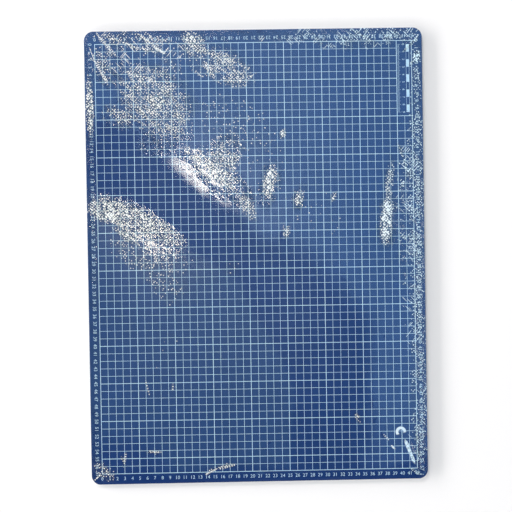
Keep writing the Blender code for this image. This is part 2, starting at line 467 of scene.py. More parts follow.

# How a crease glitters, on a wider strip than its ridge, and how much milk paints its glint.
CREASE_CRINKLE = 0.7
CREASE_CRINKLE_WIDTH = 1.4
CREASE_CRINKLE_GAIN = 1.5
CREASE_GLINT_PAINT = 0.5

# How strongly the back film is crinkled, all over and further in the margins.
BACK_CRINKLE = 0.25
BACK_MARGIN_CRINKLE = 0.6

# How near the outline a point has to be to lie on it.
ON_OUTLINE = 1e-6


def side_distances(x, y, half_film):
    """How far each point is from the left, right, bottom and top side of film of this half size."""
    return x + half_film[0], half_film[0] - x, y + half_film[1], half_film[1] - y


def margin_share(x, y, half_film):
    """How crinkled the film is near the sides, from 0 to 1."""
    share = np.zeros_like(x)
    for distance, (reach, strength) in zip(side_distances(x, y, half_film), MARGINS):
        share = np.maximum(share, strength * (1 - smooth_step(distance, reach * MARGIN_FULL, reach)))
    return share


def crease_lift(x, y, start, end, half_width, height, rungs):
    """One ridge of film between two points, thin at both ends."""
    length, heading = run_between(start, end)
    along, across = along_and_across(x, y, start, heading)
    wander = half_width * noise(along, across * 0, *CREASE_WANDER)
    ridge = np.clip(1 - np.abs(across - wander) / half_width, 0, 1) ** CREASE_POWER
    share = along / length
    ends = smooth_step(share, 0, CREASE_END) * (1 - smooth_step(share, 1 - CREASE_END, 1))
    if rungs:
        ridge = ridge * (1 - CREASE_RUNGS + CREASE_RUNGS * np.sin(along * 2 * math.pi / rungs))
    return height * ridge * ends


def film_lift(x, y, half_film):
    """How far the front film stands off the print at each point."""
    lift = sum(height + noise(x, y, cell, height, seed) for cell, height, seed in SLOW_WAVES)
    for centre, half_size, heading, wavelength, height in RIPPLES:
        _, across = along_and_across(x, y, centre, heading)
        phase = across * 2 * math.pi / wavelength + noise(x, y, *RIPPLE_WOBBLE)
        lift += oval(x, y, centre, half_size, heading, RIPPLE_SOFTNESS) * height * (1 + np.sin(phase)) / 2
    for crease in CREASES:
        lift += crease_lift(x, y, *crease)
    marks = np.random.RandomState(STRAY_SEED)
    for _ in range(STRAY_MARKS):
        start = [marks.uniform(-half, half) for half in half_film]
        heading = marks.uniform(-math.pi, math.pi)
        length = marks.uniform(*STRAY_LENGTH)
        end = (start[0] + length * math.cos(heading), start[1] + length * math.sin(heading))
        lift += crease_lift(x, y, start, end, STRAY_HALF_WIDTH, marks.uniform(*STRAY_HEIGHT), 0)
    bulge = np.hypot(x - DIMPLE_CENTRE[0], y - DIMPLE_CENTRE[1]) / DIMPLE_RADIUS
    lift += DIMPLE_HEIGHT * (1 - smooth_step(bulge, DIMPLE_FLAT, 1))
    folds = sum(np.abs(noise(x, y, *fold)) for fold in MARGIN_FOLDS)
    lift += margin_share(x, y, half_film) * folds
    nearest = np.min(side_distances(x, y, half_film), axis=0)
    return lift * smooth_step(nearest, 0, FLAT_AT_SIDES)


def strongest(x, y, patches, soft):
    """The strength of the strongest patch at each point, which is 0 outside them all."""
    share = np.zeros_like(x)
    for centre, half_size, heading, strength in patches:
        share = np.maximum(share, strength * oval(x, y, centre, half_size, heading, soft))
    return share


def film_crinkle(x, y, half_film):
    """How strongly the film is crinkled at each point, from 0 to 1."""
    share = np.maximum(strongest(x, y, CRINKLES, CRINKLE_SOFTNESS), margin_share(x, y, half_film))
    for start, end, crease_width, _, _ in CREASES:
        ridge = crease_lift(x, y, start, end, crease_width * CREASE_CRINKLE_WIDTH, CREASE_CRINKLE_GAIN, 0)
        share = np.maximum(share, CREASE_CRINKLE * np.minimum(ridge, 1))
    return share


def film_scuff(x, y):
    """What share of the film is covered by milky specks, which paint its glints, at each point."""
    share = strongest(x, y, GLINT_SPECK_PATCHES, GLINT_PATCH_SOFTNESS)
    for start, end, crease_width, _, _ in CREASES:
        share = np.maximum(share, crease_lift(x, y, start, end, crease_width, CREASE_GLINT_PAINT, 0))
    return share


def stations(half, fine_low, fine_high, step):
    """Places from -half to half, FINE_STEP apart within a band at each end and step apart between them."""
    lower = np.arange(-half, fine_low - half, FINE_STEP)
    upper = np.arange(half, half - fine_high, -FINE_STEP)[::-1]
    count = round((upper[0] - lower[-1]) / step)
    between = np.linspace(lower[-1], upper[0], count + 1)[1:-1]
    return np.concatenate([lower, between, upper])


def round_corners(x, y, half_film, radius):
    """Presses the corners of a rectangle's grid of points into quarter circles."""
    inner_x, inner_y = (half - radius for half in half_film)
    p = np.clip((np.abs(x) - inner_x) / radius, 0, 1)
    q = np.clip((np.abs(y) - inner_y) / radius, 0, 1)
    corner = (p > 0) & (q > 0)
    round_x = np.sign(x) * (inner_x + radius * p * np.sqrt(1 - q * q / 2))
    round_y = np.sign(y) * (inner_y + radius * q * np.sqrt(1 - p * p / 2))
    return np.where(corner, round_x, x), np.where(corner, round_y, y)


def outline_normals(x, y, half_film, radius):
    """Directions straight out of the mat at points on its outline."""
    inner_x, inner_y = (half - radius for half in half_film)
    dx = np.sign(x) * np.maximum(np.abs(x) - inner_x, 0)
    dy = np.sign(y) * np.maximum(np.abs(y) - inner_y, 0)
    straight_side = (np.abs(x) > half_film[0] - ON_OUTLINE) & (np.abs(y) <= inner_y)
    straight_end = (np.abs(y) > half_film[1] - ON_OUTLINE) & (np.abs(x) <= inner_x)
    dx = np.where(straight_end, 0, dx)
    dy = np.where(straight_side, 0, dy)
    size = np.hypot(dx, dy)
    return dx / size, dy / size


def film_mesh(name, xs, ys, radius, height_of, rim, material, flip):
    """A sheet over one side of the mat, from a grid of points, with rings that go down its rim."""
    half_film = (xs[-1], ys[-1])
    x, y = round_corners(*np.meshgrid(xs, ys, indexing="ij"), half_film, radius)
    z = height_of(x, y)
    points = np.stack([x.ravel(), y.ravel(), z.ravel()], axis=1)
    index = np.arange(x.size).reshape(x.shape)
    corners = (index[:-1, :-1], index[1:, :-1], index[1:, 1:], index[:-1, 1:])
    quads = np.stack([corner.ravel() for corner in corners], axis=1)
    loop = np.concatenate([index[:-1, 0], index[-1, :-1], index[:0:-1, -1], index[0, :0:-1]])
    edge = points[loop]
    out_x, out_y = outline_normals(edge[:, 0], edge[:, 1], half_film, radius)
    layers = [points]
    faces = [quads]
    inner = loop
    for count, (outward, height) in enumerate(rim):
        reach = outward + FILM_INSET
        heights = np.full(len(loop), height)
        layers.append(np.stack([edge[:, 0] + out_x * reach, edge[:, 1] + out_y * reach, heights], axis=1))
        outer = np.arange(len(loop)) + len(points) + count * len(loop)
        faces.append(np.stack([inner, outer, np.roll(outer, -1), np.roll(inner, -1)], axis=1))
        inner = outer
    faces = np.concatenate(faces)
    if flip:
        faces = faces[:, ::-1]
    return mesh_object(name, np.concatenate(layers), faces.tolist(), material, smooth=True)


def flat_places(piece):
    """x and y of each of a piece's points."""
    x, y, _ = np.array([vertex.co for vertex in piece.data.vertices]).T / MM
    return x, y


def add_attribute(piece, name, values):
    """Gives a piece's points a value that its material reads."""
    attribute = piece.data.attributes.new(name, "FLOAT", "POINT")
    attribute.data.foreach_set("value", np.asarray(values, np.float32))


def add_films(film):
    """The front and back halves of the film, in place of the CAD's plain ones."""
    low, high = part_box("face_skin")
    half_film = [size / 2 / MM - FILM_INSET for size in (high.x - low.x, high.y - low.y)]
    radius = CORNER_RADIUS - FILM_INSET

    def front_height(x, y):
        return FILM_FACE + film_lift(x, y, half_film)

    def back_height(x, y):
        return FILM_UNDERSIDE + noise(x, y, *BACK_WAVE)

    xs = stations(half_film[0], FINE_BAND, FINE_BAND, COARSE_STEP)
    ys = stations(half_film[1], BOTTOM_FINE_BAND, FINE_BAND, COARSE_STEP)
    front = film_mesh("film_front_sheet", xs, ys, radius, front_height, FRONT_RIM, film, False)
    x, y = flat_places(front)
    add_attribute(front, "crinkle", film_crinkle(x, y, half_film))
    # Shares of the milk that paints glints: specks, crossing lines, and where the single marks go.
    add_attribute(front, "painted_glint_specks", film_scuff(x, y))
    add_attribute(front, "glint_lines", strongest(x, y, GLINT_LINE_PATCHES, GLINT_PATCH_SOFTNESS))
    add_attribute(front, "shows_glint_marks", np.ones_like(x))
    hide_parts("film_front")

    xs, ys = (stations(half, BACK_FINE_BAND, BACK_FINE_BAND, BACK_STEP) for half in half_film)
    back = film_mesh("film_back_sheet", xs, ys, radius, back_height, BACK_RIM, film, True)
    margin = margin_share(*flat_places(back), half_film)
    add_attribute(back, "crinkle", BACK_CRINKLE + BACK_MARGIN_CRINKLE * margin)
    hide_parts("film_back")


# Materials.

class Signal:
    """A shader value written in plain arithmetic."""

    def __init__(self, tree, socket):
        self.tree = tree
        self.socket = socket

    def worked_out(self, operation, *others):
        """The result of one Math node."""
        made = self.tree.nodes.new("ShaderNodeMath")
        made.operation = operation
        for socket, value in zip(made.inputs, (self, *others)):
            plug(self.tree, socket, value)
        return Signal(self.tree, made.outputs[0])

    __add__ = partialmethod(worked_out, "ADD")
    __sub__ = partialmethod(worked_out, "SUBTRACT")
    __mul__ = partialmethod(worked_out, "MULTIPLY")
    __truediv__ = partialmethod(worked_out, "DIVIDE")
    __pow__ = partialmethod(worked_out, "POWER")
    __abs__ = partialmethod(worked_out, "ABSOLUTE")
    most = partialmethod(worked_out, "MAXIMUM")
    least = partialmethod(worked_out, "MINIMUM")
    sine = partialmethod(worked_out, "SINE")

    def inverse(self):
        """1 less this value."""
        return self * -1.0 + 1.0

    def step(self, low, high):
        """0 below low, 1 above high and a smooth rise between them."""
        made = node(self.tree, "ShaderNodeMapRange", Value=self, From_Min=low, From_Max=high)
        made.interpolation_type = "SMOOTHSTEP"
        return Signal(self.tree, made.outputs["Result"])


def plug(tree, socket, value):
    """Sets a socket, or links it where value comes from another node."""
    if isinstance(value, Signal):
        tree.links.new(value.socket, socket)
    elif isinstance(value, bpy.types.NodeSocket):
        tree.links.new(value, socket)
    else:
        socket.default_value = value


def node(tree, kind, **values):
    """A new node with its inputs set or linked by name, where _ stands for a space."""
    made = tree.nodes.new(kind)
    for name, value in values.items():
        plug(tree, made.inputs[name.replace("_", " ")], value)
    return made


def new_material(name):
    """A material with an empty node tree."""
    material = bpy.data.materials.new(name)
    material.use_nodes = True
    tree = material.node_tree
    tree.nodes.clear()
    return material, tree


def finish_tree(tree, shader, kind="ShaderNodeOutputMaterial"):
    """Makes a shader the one that a material or the world shows."""
    node(tree, kind, Surface=shader.outputs[0])


def mix_shaders(tree, share, first, second):
    """A shader between two, by share."""
    mix = tree.nodes.new("ShaderNodeMixShader")
    for socket, value in zip(mix.inputs, (share, first.outputs[0], second.outputs[0])):
        plug(tree, socket, value)
    return mix


def blend(tree, share, first, second):
    """A colour between two, by share."""
    mix = tree.nodes.new("ShaderNodeMix")
    mix.data_type = "RGBA"
    for place, value in ((0, share), (6, first), (7, second)):
        plug(tree, mix.inputs[place], value)
    return mix.outputs[2]


def texture(tree, scale, detail, roughness, stretch=(1, 1, 1), heading=0.0):
    """Noise in the object's own space, with its scale in cells per metre."""
    place = node(tree, "ShaderNodeTexCoord").outputs["Object"]
    turn = (0, 0, math.radians(heading))
    turned = node(tree, "ShaderNodeMapping", Vector=place, Rotation=turn, Scale=stretch).outputs[0]
    made = node(tree, "ShaderNodeTexNoise", Vector=turned, Scale=scale, Detail=detail, Roughness=roughness)
    return Signal(tree, made.outputs[0])


def finish_plain(tree, shade, shades, height, relief, **others):
    """Shows a surface between two shades, raised by relief metres where height is 1."""
    colour = blend(tree, shade, *shades)
    normal = node(tree, "ShaderNodeBump", Height=height, Distance=relief).outputs["Normal"]
    finish_tree(tree, node(tree, "ShaderNodeBsdfPrincipled", Base_Color=colour, Normal=normal, **others))


# Dark and light shade of each material, and between which values of a noise it goes from one to the other.
SKIN_SHADES = ((0.0115, 0.043, 0.165, 1), (0.0148, 0.0525, 0.195, 1))
CUSHION_SHADES = ((0.02, 0.06, 0.19, 1), (0.035, 0.085, 0.24, 1))
BOARD_SHADES = ((0.3, 0.31, 0.32, 1), (0.5, 0.51, 0.52, 1))
INK_SHADES = ((0.6, 0.8, 0.97, 1), (0.76, 0.96, 1.0, 1))
SEAL_SHADES = ((0.62, 0.68, 0.76, 1), (0.86, 0.89, 0.93, 1))
SHADE_RANGE = (0.3, 0.7)
INK_RANGE = (0.36, 0.6)
SEAL_RANGE = (0.35, 0.65)

# Roughness, and what uneven and rubbed places add to it.
VINYL_ROUGHNESS = 0.4
BOARD_ROUGHNESS = 0.65
INK_ROUGHNESS = 0.4
UNEVEN_ROUGHNESS = 0.2
RUBBED_ROUGHNESS = 0.12


def vinyl_material(name, shades, grain, relief):
    """Soft matt vinyl with a pebbled emboss, grain pebbles to a metre, a little uneven in colour."""
    material, tree = new_material(name)
    cloud = texture(tree, scale=14, detail=4, roughness=0.6)
    fleck = texture(tree, scale=900, detail=2, roughness=0.7)
    pebble = texture(tree, scale=grain, detail=3, roughness=0.55)
    rubbed = texture(tree, scale=120, detail=5, roughness=0.7, stretch=(1, 3.5, 1), heading=20)
    shade = (cloud * 0.6 + fleck * 0.4).step(*SHADE_RANGE)
    rough = pebble * UNEVEN_ROUGHNESS + rubbed * RUBBED_ROUGHNESS + VINYL_ROUGHNESS
    finish_plain(tree, shade, shades, pebble, relief, Roughness=rough, Specular_IOR_Level=0.1)
    return material


def board_material():
    """Grey fibre board, seen at the cut edge."""
    material, tree = new_material("core_board")
    fibre = texture(tree, scale=700, detail=4, roughness=0.7, stretch=(1, 1, 4))
    shade = fibre.step(*SHADE_RANGE)
    rough = fibre * UNEVEN_ROUGHNESS + BOARD_ROUGHNESS
    finish_plain(tree, shade, BOARD_SHADES, fibre, relief=0.00008, Roughness=rough, Specular_IOR_Level=0.2)
    return material


def ink_material():
    """Screen ink: nearly white, thin in places where the mesh left it open."""
    material, tree = new_material("print_ink")
    mottle = texture(tree, scale=1400, detail=2, roughness=0.6)
    worn = texture(tree, scale=60, detail=4, roughness=0.6)
    shade = (mottle * 0.5 + worn * 0.5).step(*INK_RANGE)
    rough = mottle * UNEVEN_ROUGHNESS + INK_ROUGHNESS
    finish_plain(tree, shade, INK_SHADES, mottle, relief=0.00002, Roughness=rough, Specular_IOR_Level=0.3)
    return material


def seal_material():
    """A cloudy bead of fused film."""
    material, tree = new_material("fused_film")
    cloud = texture(tree, scale=500, detail=3, roughness=0.6)
    shade = cloud.step(*SEAL_RANGE)
    finish_plain(tree, shade, SEAL_SHADES, cloud, relief=0.0003, Roughness=0.22, Alpha=0.55)
    return material


# The film's gloss, tints and milk. The milk is a diffuse white that paints glints and highlights.
FILM_LEAST_MIRROR = 0.08
FILM_ROUGHNESS = 0.045
CRINKLE_ROUGHNESS = 0.02
CLEAR_TINT = (0.97, 0.98, 0.985, 1)
HAZY_TINT = (0.81, 0.755, 0.67, 1)
GLINT_SPECK_HAZE = 2.0
CRINKLE_HAZE = 0.5
LEAST_PAINTED_GLINT = 0.002
PAINTED_GLINT_STRENGTH = 0.95
SPECK_SHARE = 0.85
VEIL_SHARE = 0.15
WARM_PAINTED_GLINT = (0.96, 0.94, 0.88, 1)
COOL_PAINTED_GLINT = (0.76, 0.92, 0.99, 1)

# Where the painted glints are cool: right of the first x, or above y and right of the second x.
COOL_RIGHT_X = (150.0, 210.0)
COOL_TOP_Y = (260.0, 280.0)
COOL_TOP_X = (-20.0, 80.0)

# Brushed noise, which makes the patches ragged: its stretch, scale and range, and how much it changes.
BRUSH_HEADING = -42
BRUSH_STRETCH = (2.2, 0.8)
BRUSH_SCALE = 110.0
BRUSH_RANGE = (0.36, 0.62)
RAGGED_GAIN = 1.3
RAGGED_LEAST = 0.3
GLINT_SPECK_RAGGED = 0.8

# How far the film's normal tilts all over, facet by facet where it is crinkled, and in streaks at the glare.
FINE_TILT = 0.008
FINE_SCALE = 90.0
FACET_TILT = 0.2
FACET_STRETCH = (1.1, 0.9)
FACET_SCALE = 720.0
FACET_RANDOMNESS = 0.6
STREAK_TILT = 0.12
STREAK_HEADING = -58
STREAK_STRETCH = (4.0, 0.6)
STREAK_SCALE = 300.0
STREAK_LEAST_CRINKLE = (0.0, 0.25)
STREAKS_ABOVE = (-40.0, 0.0)
STREAKS_LEFT_OF = (-80.0, -50.0)

# Spots: how their size varies from one to the next, and how soft their edges are.
SPOT_LEAST = 0.7
SPOT_VARIES = 0.6
SPOT_EDGE = (0.0, 0.05)

# Specks and fine crossing lines of painted glint, and the flecks that break up a mark: spacing along and
# across the heading, randomness and size. A speck's size comes from the share that it covers.
SPECKS = ((2.964, 2.736), 0.65)
SPECK_LEAST_SIZE = 0.25
FINE_GLINT_LINES = ((44.8, 2.8), 0.6, 0.13)
GLINT_LINE_HEADINGS = (50, -46)
GLINT_LINE_SHARE = 0.9
FLECKS = ((2.4, 2.4), 0.9, 0.42)
FLECK_STRENGTH = 0.4

# A single mark, which paints a highlight: how strong it is between its flecks, where its ends thin out, and
# how soft its edges are.
MARK_STRENGTH = 0.55
ARC_STRENGTH = 0.9
MARK_START = 0.15
MARK_END = 0.75
MARK_EDGE = (0.0, 0.3)
MARK_RUNG_EDGE = (-0.1, 0.3)


def vector_math(tree, operation, first, second=(0, 0, 0)):
    """A vector worked out from one or two others. SCALE takes a factor as its second."""
    made = tree.nodes.new("ShaderNodeVectorMath")
    made.operation = operation
    plug(tree, made.inputs[0], first)
    plug(tree, made.inputs["Scale" if operation == "SCALE" else 1], second)
    return made.outputs[0]


def tilt_from(tree, colour, strength):
    """A colour from 0 to 1 turned into a tilt either way."""
    return vector_math(tree, "SCALE", vector_math(tree, "SUBTRACT", colour, (0.5, 0.5, 0.5)), strength)


def drawn_out(tree, heading, along, across):
    """Coordinates that stretch a texture along a heading."""
    place = node(tree, "ShaderNodeTexCoord").outputs["Object"]
    turn = (0, 0, math.radians(heading))
    turned = node(tree, "ShaderNodeMapping", Vector=place, Rotation=turn, Scale=(along, across, 1))
    turned.vector_type = "TEXTURE"
    return turned.outputs[0]


def drawn_noise(tree, heading, stretch, scale, detail):
    """Noise stretched along a heading."""
    place = drawn_out(tree, heading, *stretch)
    made = node(tree, "ShaderNodeTexNoise", Vector=place, Scale=scale, Detail=detail)
    return Signal(tree, made.outputs[0])


def spots(tree, heading, spacing, randomness, size, share):
    """Ovals along a heading, of which a share is there. Size is half their width to their spacing."""
    place = drawn_out(tree, heading, spacing[0] * MM, spacing[1] * MM)
    cells = node(tree, "ShaderNodeTexVoronoi", Vector=place, Scale=1.0, Randomness=randomness)
    cells.voronoi_dimensions = "2D"
    parts = node(tree, "ShaderNodeSeparateColor", Color=cells.outputs["Color"])
    chance, uneven, _ = (Signal(tree, socket) for socket in parts.outputs)
    radius = (uneven * SPOT_VARIES + SPOT_LEAST) * size
    inside = (radius - Signal(tree, cells.outputs["Distance"])).step(*SPOT_EDGE)
    return inside * (chance * -1.0 + share).step(*SPOT_EDGE)


def specks(tree, glint_coverage):
    """Small round milky specks, painted glints that fill the given share of the film."""
    size = ((glint_coverage / math.pi) ** 0.5).most(SPECK_LEAST_SIZE)
    share = glint_coverage / (math.pi * SPECK_LEAST_SIZE**2)
    return spots(tree, BRUSH_HEADING, *SPECKS, size, share)


def face_place(tree):
    """x and y on the mat."""
    place = node(tree, "ShaderNodeTexCoord").outputs["Object"]
    parts = node(tree, "ShaderNodeSeparateXYZ", Vector=place)
    return [Signal(tree, socket) / MM for socket in parts.outputs[:2]]


def arc_mark(tree):
    """The milky arc round the upper left of the dimple, which paints its highlight."""
    x, y = face_place(tree)
    dx = x - DIMPLE_CENTRE[0]
    dy = y - DIMPLE_CENTRE[1]
    off_arc = abs((dx * dx + dy * dy) ** 0.5 - ARC_RADIUS) / ARC_HALF_WIDTH
    return off_arc.step(*ARC_FADE).inverse() * (dy - dx * ARC_LEAN).step(*ARC_ENDS)


def line_mark(tree, start, end, half_width, rungs):
    """One milky mark between two points, thin at both ends, which paints a highlight."""
    length, heading = run_between(start, end)
    along, across = along_and_across(*face_place(tree), start, heading)
    ends = along.step(0.0, length * MARK_START) * along.step(length * MARK_END, length).inverse()
    mark = (ends - abs(across) / half_width).step(*MARK_EDGE)
    if rungs:
        mark = mark * (along * (2 * math.pi / rungs)).sine().step(*MARK_RUNG_EDGE)
    return mark


def attribute(tree, name):
    """The value that a mesh's points carry under a name."""
    made = tree.nodes.new("ShaderNodeAttribute")
    made.attribute_name = name
    return Signal(tree, made.outputs["Fac"])


def film_normal(tree, crinkle):
    """The film's normal with all its small tilts."""
    place = node(tree, "ShaderNodeTexCoord").outputs["Object"]
    fine = node(tree, "ShaderNodeTexNoise", Vector=place, Scale=FINE_SCALE, Detail=2.0).outputs["Color"]
    x, y = face_place(tree)
    streak = drawn_noise(tree, STREAK_HEADING, STREAK_STRETCH, STREAK_SCALE, detail=1.0) - 0.5
    streak = streak * crinkle.step(*STREAK_LEAST_CRINKLE) * (x + y).step(*STREAKS_ABOVE)
    streak = streak * x.step(*STREAKS_LEFT_OF).inverse() * STREAK_TILT
    turn = math.radians(STREAK_HEADING)
    place = drawn_out(tree, BRUSH_HEADING, *FACET_STRETCH)
    cells = node(tree, "ShaderNodeTexVoronoi", Vector=place, Scale=FACET_SCALE, Randomness=FACET_RANDOMNESS)
    tilts = (
        tilt_from(tree, fine, FINE_TILT),
        tilt_from(tree, cells.outputs["Color"], crinkle * FACET_TILT),
        vector_math(tree, "SCALE", (-math.sin(turn), math.cos(turn), 0), streak),
    )
    normal = node(tree, "ShaderNodeNewGeometry").outputs["Normal"]
    for tilt in tilts:
        normal = vector_math(tree, "ADD", normal, tilt)
    return vector_math(tree, "NORMALIZE", normal)


def milky_share(tree, glint_coverage, glint_lines):
    """What share of the film is milk, which paints glints and highlights: specks in a thin veil, crossing
    lines and the single marks.
    """
    glint_share = specks(tree, glint_coverage * SPECK_SHARE)
    for heading in GLINT_LINE_HEADINGS:
        glint_share = glint_share.most(spots(tree, heading, *FINE_GLINT_LINES, glint_lines * GLINT_LINE_SHARE))
    glint_share = (glint_share + glint_coverage * VEIL_SHARE).least(1.0)
    lines = line_mark(tree, *GLINT_MARKS[0])
    for mark in GLINT_MARKS[1:]:
        lines = lines.most(line_mark(tree, *mark))
    flecks = spots(tree, BRUSH_HEADING, *FLECKS, 1.0)
    marks = (lines * (flecks * FLECK_STRENGTH + MARK_STRENGTH)).most(arc_mark(tree) * ARC_STRENGTH)
    return glint_share.most(marks * attribute(tree, "shows_glint_marks")) * PAINTED_GLINT_STRENGTH + LEAST_PAINTED_GLINT


def film_material():
    """Clear shrink film: it mirrors a little, more at a slant, and glitters where it is crinkled, with more
    glints painted on in milk.
    """
    material, tree = new_material("clear_film")
    brush = drawn_noise(tree, BRUSH_HEADING, BRUSH_STRETCH, BRUSH_SCALE, detail=3.0)
    ragged = brush.step(*BRUSH_RANGE) * RAGGED_GAIN + RAGGED_LEAST
    crinkle = (attribute(tree, "crinkle") * ragged).least(1.0)
    glint_coverage = attribute(tree, "painted_glint_specks") * (ragged * GLINT_SPECK_RAGGED + (1 - GLINT_SPECK_RAGGED))
    glint_lines = attribute(tree, "glint_lines") * ragged.least(1.0)

    haze = (glint_coverage * GLINT_SPECK_HAZE).most(crinkle * CRINKLE_HAZE).least(1.0)
    clear = node(tree, "ShaderNodeBsdfTransparent", Color=blend(tree, haze, CLEAR_TINT, HAZY_TINT))
    x, y = face_place(tree)
    cool = x.step(*COOL_RIGHT_X).most(y.step(*COOL_TOP_Y) * x.step(*COOL_TOP_X))
    # Milk: a diffuse white, warm or cool, that paints glints and highlights over the clear film.
    painted_glint = node(tree, "ShaderNodeBsdfDiffuse", Color=blend(tree, cool, WARM_PAINTED_GLINT, COOL_PAINTED_GLINT))
    body = mix_shaders(tree, milky_share(tree, glint_coverage, glint_lines), clear, painted_glint)

    normal = film_normal(tree, crinkle)
    facing = Signal(tree, node(tree, "ShaderNodeLayerWeight", Normal=normal).outputs["Facing"])
    mirror = facing**5.0 * (1 - FILM_LEAST_MIRROR) + FILM_LEAST_MIRROR
    roughness = crinkle * CRINKLE_ROUGHNESS + FILM_ROUGHNESS
    gloss = node(tree, "ShaderNodeBsdfAnisotropic", Color=(1, 1, 1, 1), Roughness=roughness, Normal=normal)
    finish_tree(tree, mix_shaders(tree, mirror, body, gloss))
    return material


def dress(material, *node_names):
    """Gives CAD nodes their material."""
    for name in node_names:
        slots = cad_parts[name].data.materials
        slots.clear()
        slots.append(material)


# The studio. Places on the mirror plane are where a flat film shows them in the photograph's view.

SKY_COLOUR = (0.30, 0.60, 1.0)
SKY_EVERYWHERE = 0.22
SKY_Y = (-400, -180)
VEIL_COLOUR = (0.7, 0.85, 1.0)
VEIL_STRENGTH = 0.27
VEIL_Y = (-260, -60)
VEIL_X = (-300, -100)
VEIL_END_X = (30, 170)
CEILING_COLOUR = (0.55, 1.0, 1.0)
CEILING_LOWER = 0.24
LAMP_COLOUR = (1.0, 0.91, 0.76)
LAMP_STRENGTH = 11.0
LAMP_CENTRE = (-130.0, -25.0)
LAMP_HALF_SIZE = (60.0, 66.0)
LAMP_LEAN = 0.25
LAMP_SQUARENESS = 4.0
LAMP_EDGE = (0.85, 1.0)
GLOW_EDGE = (0.8, 3.0)
GLOW_STRENGTH = 0.5

# The dark lower left corner of the ceiling, and the dark foot below the mat.
CORNER_CENTRE = (-205.0, -300.0)
CORNER_HALF_SIZE = (95.0, 75.0)
CORNER_EDGE = (0.6, 1.1)
FOOT_Y = (-292, -274)

# The walls: how far out they start, how low, and how bright they are at the top and at the horizon.
WALL_X = (240, 460)
WALL_Y = (320, 520)
WALL_HEIGHT = (0.3, 0.6)
WALL_FADE = (0.05, 0.6)
WALL_LIGHT = 0.29
HORIZON_LIGHT = 0.88
LEAST_HEIGHT = 0.02

# Light strips just outside the mat on the mirror plane: x from and to, y from and to, strength.
STRIPS = (
    (236, 256, -330, 120, 2.0),
    (-250, -20, 322, 336, 4.0),
    (40, 230, 320, 334, 2.0),
    (-262, -246, 120, 330, 3.0),
)
STRIP_EDGE = 5.0

# The dark band's edges on the mirror plane, as v against u, and their softness, which grows with u. BAND_U
# and BAND_V are a lowest value and the range above it.
BAND_U = (-300.0, 600.0)
BAND_V = (-250.0, 400.0)
BAND_LOWER = (
    (-300, -118), (-216, -94), (-145, -68), (-67, -57), (-4, -42), (58, -57),
    (116, -76), (160, -92), (205, -141), (243, -180), (300, -240),
)
BAND_UPPER = (
    (-300, -40), (-255, -4), (-188, 12), (-130, 10), (-67, 22), (-19, 24),
    (53, 50), (116, 50), (166, 42), (203, 11), (257, -50), (300, -95),
)
BAND_LOWER_EDGE = (-6, 6)
BAND_UPPER_EDGE = (-6.0, 7.0)
BAND_SOFTER = 2.5
BAND_SOFTER_U = (-100, 20)


def curve_of(tree, value, points):
    """A drawn curve from u to v on the mirror plane."""
    low_u, wide = BAND_U
    low_v, tall = BAND_V
    drawn = node(tree, "ShaderNodeFloatCurve", Value=(value - low_u) / wide)
    curve = drawn.mapping.curves[0]
    places = [((u - low_u) / wide, (v - low_v) / tall) for u, v in points]
    curve.points[0].location = places[0]
    curve.points[1].location = places[-1]
    for place in places[1:-1]:
        curve.points.new(*place)
    drawn.mapping.update()
    return Signal(tree, drawn.outputs[0]) * tall + low_v


def mirror_plane(tree):
    """The height of a direction from 0 to 1, and x and y where a flat film shows it."""
    direction = node(tree, "ShaderNodeTexCoord").outputs["Generated"]
    parts = node(tree, "ShaderNodeSeparateXYZ", Vector=direction)
    x, y, z = (Signal(tree, socket) for socket in parts.outputs)
    height = z.most(LEAST_HEIGHT)
    reach = (CAMERA_PLACE[2] - FILM_FACE * MM) / MM
    on_x = x / height * reach + CAMERA_PLACE[0] / MM
    on_y = y / height * reach + CAMERA_PLACE[1] / MM
    return z, on_x, on_y


def dark_band(tree, u, v):
    """What lies above the dark band and what lies below it."""
    above_lower = v - curve_of(tree, u, BAND_LOWER)
    above_upper = v - curve_of(tree, u, BAND_UPPER)
    soft = u.step(*BAND_SOFTER_U) * BAND_SOFTER + 1.0
    upper = above_upper.step(*(soft * edge for edge in BAND_UPPER_EDGE))
    lower = above_lower.step(*BAND_LOWER_EDGE).inverse()
    return upper, lower


def bright_lamp(u, v):
    """The lamp, a leaning rounded square, and the glow round it."""
    dv = v - LAMP_CENTRE[1]
    du = u - LAMP_CENTRE[0] - dv * LAMP_LEAN
    far_u = abs(du) / LAMP_HALF_SIZE[0]
    far_v = abs(dv) / LAMP_HALF_SIZE[1]
    reach = (far_u**LAMP_SQUARENESS + far_v**LAMP_SQUARENESS) ** (1 / LAMP_SQUARENESS)
    lamp = reach.step(*LAMP_EDGE).inverse() * LAMP_STRENGTH
    glow = reach.step(*GLOW_EDGE).inverse() ** 2.0 * GLOW_STRENGTH
    return lamp, glow


def within(value, low, high):
    """1 between low and high, with a soft edge inside each."""
    return value.step(low, low + STRIP_EDGE) * value.step(high - STRIP_EDGE, high).inverse()


def light_strips(on_x, on_y):
    """The light strips just outside the mat."""
    strips = 0.0
    for low_x, high_x, low_y, high_y, strength in STRIPS:
        strips = within(on_x, low_x, high_x) * within(on_y, low_y, high_y) * strength + strips
    return strips


